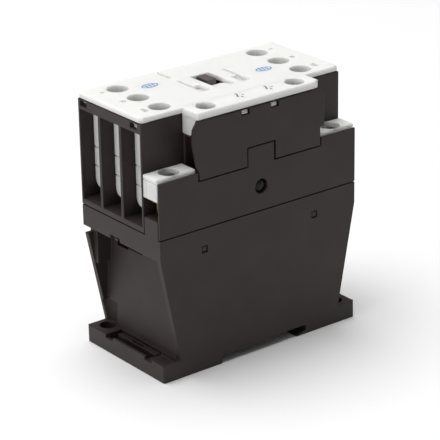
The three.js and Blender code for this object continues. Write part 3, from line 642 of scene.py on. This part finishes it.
def contact_symbols():
    """The plain symbol of an open contact, twice, on the auxiliary cover."""
    places_x, y = (-4.2, 8.2), -17
    line = 0.5
    # Each stroke: its centre from the symbol's, length, width and angle.
    strokes = ((0, 1.7, 1.3, line, 90), (0, -1.7, 1.3, line, 90), (-0.7, 0.05, 2.5, line, 62),
               (1.5, 0, 1.2, 0.4, 0))
    top = corners("aux_cover")[1].z

    def draw(shape):
        for x in places_x:
            for dx, dy, length, width, angle in strokes:
                bar(shape, x + dx, y + dy, length, width, angle, top, INK)

    marks("contact_symbols", draw, grey_ink)


# ------------------------------------------------------------------ metal parts

def silver_tips(obj, node):
    """Silver on the contact tips of a strip or a bridge: the faces beyond the bar, where contacts meet."""
    main_tip, aux_tip = 1, 0.5
    low, high = corners(node)
    upward = node.startswith("fixed_contact")
    obj.data.materials.append(silver)
    bar_face = high.z - main_tip if upward else low.z + (main_tip if node.startswith("moving") else aux_tip)
    for face in obj.data.polygons:
        z = face.center.z / MM
        if (z > bar_face + LEVEL) if upward else (z < bar_face - LEVEL):
            face.material_index = 1


def metal_pieces():
    plain = ("zinc_steel", "brass", "copper", "laminated_steel")
    for node, slot in SLOT_OF.items():
        if slot in plain and "_screw_" not in node:
            obj = refined(node, radius=METAL_EDGE)
            if node.startswith(("fixed_contact", "moving_bridge")) or node == "aux_bridge":
                silver_tips(obj, node)


def soft_and_round_pieces():
    refined("coil_bobbin", radius=0.3)
    refined("coil_winding", radius=0.6)
    refined("magnet_pad", radius=0.15)


def lathed(profile, sides):
    """A closed solid of revolution round Z from (radius, height) points that start and end on the axis."""
    shape = bmesh.new()
    rows = []
    for radius, z in profile:
        if radius == 0:
            rows.append([shape.verts.new((0, 0, z))])
            continue
        rows.append([shape.verts.new((radius * math.cos(a), radius * math.sin(a), z))
                     for a in circle_angles(sides)])
    for lower, upper in zip(rows, rows[1:]):
        for i in range(sides):
            k = (i + 1) % sides
            if len(lower) == 1:
                shape.faces.new((lower[0], upper[k], upper[i]))
            elif len(upper) == 1:
                shape.faces.new((lower[i], lower[k], upper[0]))
            else:
                shape.faces.new((lower[i], lower[k], upper[k], upper[i]))
    return shape


def side_pin():
    """A round black button in the long side, with a collar and a shank behind it."""
    button, collar, shank = 2.3, 3.2, 1.6       # radii
    dome_rise, dome_end, collar_near, collar_far = 0.75, 0.8, 2, 3.2
    low, high = corners("side_pin")
    centre = middle("side_pin")
    length = high.y - low.y
    profile = [(0, 0)]
    for angle in (15, 30, 45, 60, 75):
        turn = math.radians(angle)
        profile.append((button * math.sin(turn), dome_rise * (1 - math.cos(turn))))
    profile += [(button, dome_end), (button, collar_near), (collar, collar_near), (collar, collar_far),
                (shank, collar_far), (shank, length), (0, length)]
    obj = make_object("side_pin_finished", lathed(profile, sides=48))
    turn = Matrix.Rotation(math.radians(-90), 4, "X")
    obj.matrix_world = Matrix.Translation(Vector((centre.x, low.y, centre.z)) * MM) @ turn
    shade(obj)
    place(obj, "housing", "rubber")
    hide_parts("side_pin")


def threaded(tip, shank, pitch, head_bottom, head_top, head_radius, sides=36):
    """A screw on the Z axis, one closed surface: a right-hand thread that ends just under a cheese head."""
    steepness = 1.4         # above 1, it leaves a flat crest
    rings_per_turn = 5
    plain_length = 0.6
    edge = 0.25
    crown = 0.7 * head_radius
    root = shank - 0.55 * pitch
    thread_length = head_bottom - plain_length - tip
    rings = round(thread_length / pitch * rings_per_turn)
    rise = thread_length / rings
    shape = bmesh.new()

    def ring_at(z, radius_of):
        return [shape.verts.new((radius_of(a) * math.cos(a), radius_of(a) * math.sin(a), z))
                for a in circle_angles(sides)]

    def thread(z):
        fade = min(1, (z - tip) / pitch)

        def radius_of(angle):
            phase = (z / pitch - angle / (2 * math.pi)) % 1
            crest = 1 - abs(2 * phase - 1)
            return root + (shank - root) * fade * min(1, steepness * crest)
        return radius_of

    rows = [ring_at(tip + i * rise, thread(tip + i * rise)) for i in range(rings + 1)]
    flank = [(root, head_bottom), (head_radius - edge, head_bottom), (head_radius, head_bottom + edge),
             (head_radius, head_top - 2 * edge), (head_radius - edge, head_top - edge / 3),
             (crown, head_top)]
    rows += [ring_at(z, lambda angle, r=radius: r) for radius, z in flank]
    add_skin(shape, rows)
    return shape


def screw_nodes(kind):
    """The names of all screws of one kind: three at each end for the main ones, one for the others."""
    numbers = [f"_{pole}" for pole in POLES] if kind == "main" else [""]
    return [f"{kind}_screw_{end}{number}" for end in ENDS for number in numbers]


def screw_mesh(kind):
    """The mesh of one kind of terminal screw, standing on the origin's Z axis."""
    half, depth = 0.45, 1       # of the driver slots
    size = SCREWS[kind]
    low, high = corners(screw_nodes(kind)[0])
    radius = (high.x - low.x) / 2
    short = 0.55 * radius
    shape = threaded(low.z, size["shank"], size["pitch"], high.z - size["head"], high.z, radius)
    obj = make_object(f"{kind}_screw", shape)
    floor_z = high.z - depth
    slot = box_shape((-radius - PAST, -half, floor_z), (radius + PAST, half, high.z + PAST))
    cross = box_shape((-half, -short, floor_z), (half, short, high.z + PAST))
    cut_shapes(obj, (slot, cross))
    shade(obj)
    mesh = obj.data
    bpy.data.objects.remove(obj)
    return mesh


def screws():
    for kind in SCREWS:
        mesh = screw_mesh(kind)
        mesh.materials.clear()
        mesh.materials.append(zinc)
        for node in screw_nodes(kind):
            centre = middle(node)
            obj = in_scene(node + "_finished", mesh)
            obj.matrix_world = Matrix.Translation((centre.x * MM, centre.y * MM, 0))
            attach(obj, BODY_OF[node])
            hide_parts(node)


# ------------------------------------------------------------------ springs

def coil_points(length, radius, wire, turns):
    """Points along a compression spring with closed ends, from the origin along Z."""
    steps = 14          # points in each turn
    closed = 0.9        # turns that lie flat at each end
    total = turns + 2 * closed
    free = length - wire - 2 * closed * wire
    points = []
    for i in range(round(total * steps) + 1):
        turn = min(i / steps, total)
        middle_part = min(max(turn - closed, 0), turns)
        z = wire / 2 + wire * (turn - middle_part) + free * middle_part / turns
        angle = 2 * math.pi * turn
        points.append(Vector((radius * math.cos(angle), radius * math.sin(angle), z)))
    return points


def tube(points, wire, sides=10):
    """A round wire along points that wind round the Z axis."""
    shape = bmesh.new()
    rows = []
    for i, point in enumerate(points):
        ahead = points[min(i + 1, len(points) - 1)] - points[max(i - 1, 0)]
        outward = Vector((point.x, point.y, 0)).normalized()
        up = ahead.normalized().cross(outward).normalized()
        rows.append([shape.verts.new(point + wire / 2 * (math.cos(turn) * outward + math.sin(turn) * up))
                     for turn in circle_angles(sides)])
    add_skin(shape, rows)
    return shape


def spring(node, radius, wire, turns, axis, fixed_high=False):
    """A coil spring in the CAD spring's place, wound along its axis, that rides on its body."""
    low, high = corners(node)
    number = "XYZ".index(axis)
    length = high[number] - low[number]
    obj = make_object(node + "_finished", tube(coil_points(length, radius, wire, turns), wire))
    start = (low + high) / 2
    start[number] = low[number]
    turn = Matrix.Rotation(math.radians(90), 4, "Y") if axis == "X" else Matrix.Identity(4)
    obj.data.transform(Matrix.Translation(start * MM) @ turn)
    obj.data.shade_smooth()
    place(obj, BODY_OF[node], "spring_steel")
    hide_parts(node)
    anchor = start.copy()
    anchor[number] = high[number] if fixed_high else low[number]
    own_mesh(obj)


def springs():
    spring("latch_spring", radius=1.2, wire=0.5, turns=5, axis="X")
    for end in ENDS:
        spring(f"return_spring_{end}", radius=1.9, wire=0.6, turns=6, axis="Z")
    for pole in POLES:
        spring(f"contact_spring_{pole}", radius=2.3, wire=0.7, turns=3.5,
               axis="Z", fixed_high=True)
    spring("aux_contact_spring", radius=1.1, wire=0.4, turns=4, axis="Z",
           fixed_high=True)


housings()
covers()
side_hook_faces()
indicator_sill()
cover_marks()
pole_tallies()
contact_symbols()
metal_pieces()
soft_and_round_pieces()
side_pin()
screws()
springs()


# ------------------------------------------------------------------ floor, light and camera

def floor():
    half = 6000
    shape = bmesh.new()
    bmesh.ops.create_grid(shape, x_segments=2, y_segments=2, size=half)
    obj = make_object("floor", shape)
    paper = surface("floor_paper", (0.88, 0.88, 0.88), 0.85, vary=0.004, grain=2, depth=0.01, mottle=300)
    obj.data.materials.append(paper)


def area_light(name, place_m, aim_m, size_m, power):
    light = bpy.data.lights.new(name, "AREA")
    light.shape = "DISK"
    light.size = size_m
    light.energy = power
    obj = in_scene(name, light)
    direction = Vector(aim_m) - Vector(place_m)
    obj.matrix_world = Matrix.Translation(place_m) @ direction.to_track_quat("-Z", "Y").to_matrix().to_4x4()


def studio():
    scene = bpy.context.scene
    scene.view_settings.view_transform = "Standard"
    world = bpy.data.worlds.new("studio")
    world.use_nodes = True
    background = world.node_tree.nodes["Background"]
    background.inputs["Color"].default_value = (1, 1, 1, 1)
    background.inputs["Strength"].default_value = 0.2
    scene.world = world
    aim = (0, 0, 0.05)
    area_light("overhead", (-0.1, 0.25, 1.5), aim, size_m=1.5, power=28)
    area_light("key", (-1.4, 0.05, 0.35), aim, size_m=0.8, power=4.5)


def camera():
    """A long lens, a little above the object and to its left, turned slightly about its own axis."""
    azimuth, elevation, roll = (math.radians(angle) for angle in (-37.6, 22.22, -1.05))
    target = Vector((-0.17, 0, 41.75)) * MM
    distance = 752 * MM
    back = Vector((math.sin(azimuth) * math.cos(elevation), -math.cos(azimuth) * math.cos(elevation),
                   math.sin(elevation)))
    level = Vector((math.cos(azimuth), math.sin(azimuth), 0))
    above = back.cross(level)
    right = math.cos(roll) * level + math.sin(roll) * above
    up = math.cos(roll) * above - math.sin(roll) * level
    data = bpy.data.cameras.new("camera")
    data.sensor_width = 36
    data.lens = 176.236
    data.clip_start = 0.05
    data.clip_end = 20
    obj = in_scene("camera", data)
    turn = Matrix((right, up, back)).transposed().to_4x4()
    obj.matrix_world = Matrix.Translation(target + distance * back) @ turn
    bpy.context.scene.camera = obj


floor()
studio()
camera()


def plain(bounds):
    return [[float(value) for value in corner] for corner in bounds]
